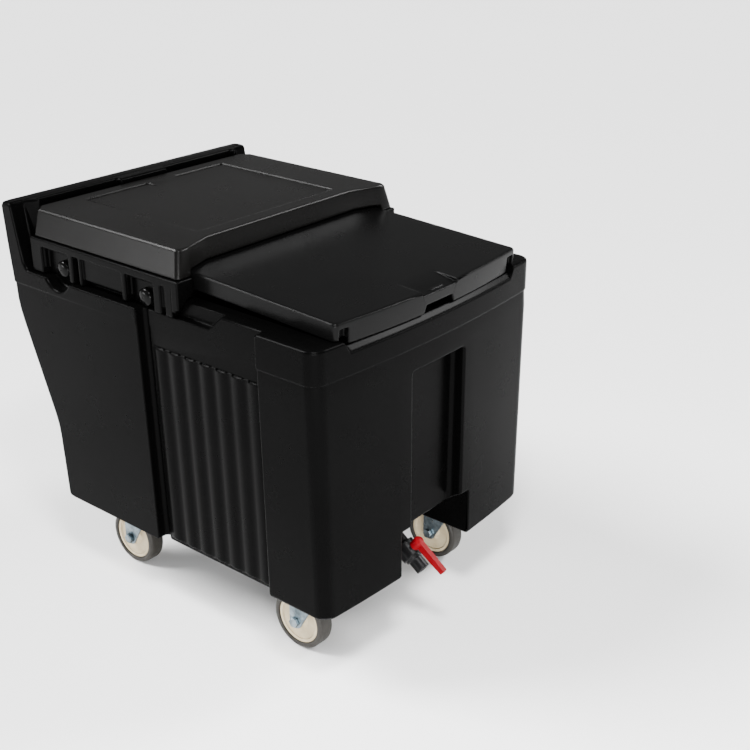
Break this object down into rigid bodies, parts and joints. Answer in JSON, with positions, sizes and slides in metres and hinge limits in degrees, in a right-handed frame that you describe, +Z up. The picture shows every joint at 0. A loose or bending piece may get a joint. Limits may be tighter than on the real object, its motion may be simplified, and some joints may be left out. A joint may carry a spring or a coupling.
{
  "type": "mobile ice bin",
  "caption": "Insulated rolling ice bin: moulded tub with push rail, lid that slides back under a fixed rear cover, lever drain valve in a front bay, swivel casters",
  "frame": {"origin": "on the floor, under the middle of the bounding box, which takes in the valve lever's reach at the front", "axes": "+Z up, the front with the drain valve faces -Y, the push rail is at +Y, +X is the right side seen from the front facing the rail"},
  "size_m": [0.585, 0.8004, 0.716],
  "materials": {
    "body_plastic": "satin black moulded polyethylene with a fine grain",
    "valve_plastic": "semi-gloss black moulded plastic",
    "knob_plastic": "glossy black",
    "gasket_rubber": "matte black rubber",
    "lever_plastic": "bright red",
    "bright_steel": "polished",
    "zinc_steel": "blue-white zinc plating",
    "wheel_plastic": "cream moulded plastic",
    "tyre_rubber": "warm grey non-marking rubber"
  },
  "bodies": {
    "bin": {"tub_body": "body_plastic", "cover_shell": "body_plastic", "cover_rail_left": "body_plastic", "cover_rail_right": "body_plastic", "cover_rear_bar": "body_plastic", "drain_bulkhead": "valve_plastic", "bulkhead_gasket": "gasket_rubber", "bulkhead_nut": "valve_plastic", "valve_body": "valve_plastic", "front_left_caster_plate": "zinc_steel", "front_right_caster_plate": "zinc_steel", "rear_left_caster_plate": "zinc_steel", "rear_right_caster_plate": "zinc_steel", "front_left_kingpin": "zinc_steel", "front_right_kingpin": "zinc_steel", "rear_left_kingpin": "zinc_steel", "rear_right_kingpin": "zinc_steel"},
    "lid": {"sliding_lid": "body_plastic"},
    "shelf": {"drain_shelf": "body_plastic"},
    "valve_handle": {"valve_ball": "bright_steel", "valve_lever": "lever_plastic"},
    "front_knob_left": {"front_knob_left": "knob_plastic"},
    "rear_knob_left": {"rear_knob_left": "knob_plastic"},
    "front_knob_right": {"front_knob_right": "knob_plastic"},
    "rear_knob_right": {"rear_knob_right": "knob_plastic"},
    "front_left_swivel": {"front_left_fork": "zinc_steel", "front_left_axle_sleeve": "zinc_steel", "front_left_axle_bolt": "zinc_steel", "front_left_axle_nut": "zinc_steel"},
    "front_left_wheel": {"front_left_wheel_core": "wheel_plastic", "front_left_tyre": "tyre_rubber"},
    "front_right_swivel": {"front_right_fork": "zinc_steel", "front_right_axle_sleeve": "zinc_steel", "front_right_axle_bolt": "zinc_steel", "front_right_axle_nut": "zinc_steel"},
    "front_right_wheel": {"front_right_wheel_core": "wheel_plastic", "front_right_tyre": "tyre_rubber"},
    "rear_left_swivel": {"rear_left_fork": "zinc_steel", "rear_left_axle_sleeve": "zinc_steel", "rear_left_axle_bolt": "zinc_steel", "rear_left_axle_nut": "zinc_steel"},
    "rear_left_wheel": {"rear_left_wheel_core": "wheel_plastic", "rear_left_tyre": "tyre_rubber"},
    "rear_right_swivel": {"rear_right_fork": "zinc_steel", "rear_right_axle_sleeve": "zinc_steel", "rear_right_axle_bolt": "zinc_steel", "rear_right_axle_nut": "zinc_steel"},
    "rear_right_wheel": {"rear_right_wheel_core": "wheel_plastic", "rear_right_tyre": "tyre_rubber"}
  },
  "joints": [
    {"name": "lid_slide", "type": "slide", "parent": "bin", "child": "lid", "axis": [0, 0.999, 0.0454], "range_m": [0, 0.295]},
    {"name": "shelf_lift", "type": "slide", "parent": "bin", "child": "shelf", "axis": [0, 0, 1], "range_m": [0, 0.15]},
    {"name": "valve_turn", "type": "hinge", "parent": "bin", "child": "valve_handle", "pos_m": [-0.017, -0.31944, 0.14191], "axis": [0, -0.5779, 0.8161], "range_deg": [0, 90]},
    {"name": "front_knob_left_turn", "type": "hinge", "parent": "bin", "child": "front_knob_left", "pos_m": [-0.262, 0.04581, 0.612], "axis": [1, 0, 0], "range_deg": [0, 90]},
    {"name": "rear_knob_left_turn", "type": "hinge", "parent": "bin", "child": "rear_knob_left", "pos_m": [-0.262, 0.26131, 0.612], "axis": [1, 0, 0], "range_deg": [0, 90]},
    {"name": "front_knob_right_turn", "type": "hinge", "parent": "bin", "child": "front_knob_right", "pos_m": [0.262, 0.04581, 0.612], "axis": [1, 0, 0], "range_deg": [0, 90]},
    {"name": "rear_knob_right_turn", "type": "hinge", "parent": "bin", "child": "rear_knob_right", "pos_m": [0.262, 0.26131, 0.612], "axis": [1, 0, 0], "range_deg": [0, 90]},
    {"name": "front_left_swivel_turn", "type": "hinge", "parent": "bin", "child": "front_left_swivel", "pos_m": [-0.1927, -0.25019, 0.12], "axis": [0, 0, 1], "continuous": true},
    {"name": "front_left_wheel_roll", "type": "hinge", "parent": "front_left_swivel", "child": "front_left_wheel", "pos_m": [-0.1927, -0.22219, 0.0555], "axis": [1, 0, 0], "continuous": true},
    {"name": "front_right_swivel_turn", "type": "hinge", "parent": "bin", "child": "front_right_swivel", "pos_m": [0.1927, -0.25019, 0.12], "axis": [0, 0, 1], "continuous": true},
    {"name": "front_right_wheel_roll", "type": "hinge", "parent": "front_right_swivel", "child": "front_right_wheel", "pos_m": [0.1927, -0.22219, 0.0555], "axis": [1, 0, 0], "continuous": true},
    {"name": "rear_left_swivel_turn", "type": "hinge", "parent": "bin", "child": "rear_left_swivel", "pos_m": [-0.1927, 0.18731, 0.12], "axis": [0, 0, 1], "continuous": true},
    {"name": "rear_left_wheel_roll", "type": "hinge", "parent": "rear_left_swivel", "child": "rear_left_wheel", "pos_m": [-0.1927, 0.21531, 0.0555], "axis": [1, 0, 0], "continuous": true},
    {"name": "rear_right_swivel_turn", "type": "hinge", "parent": "bin", "child": "rear_right_swivel", "pos_m": [0.1927, 0.18731, 0.12], "axis": [0, 0, 1], "continuous": true},
    {"name": "rear_right_wheel_roll", "type": "hinge", "parent": "rear_right_swivel", "child": "rear_right_wheel", "pos_m": [0.1927, 0.21531, 0.0555], "axis": [1, 0, 0], "continuous": true}
  ]
}
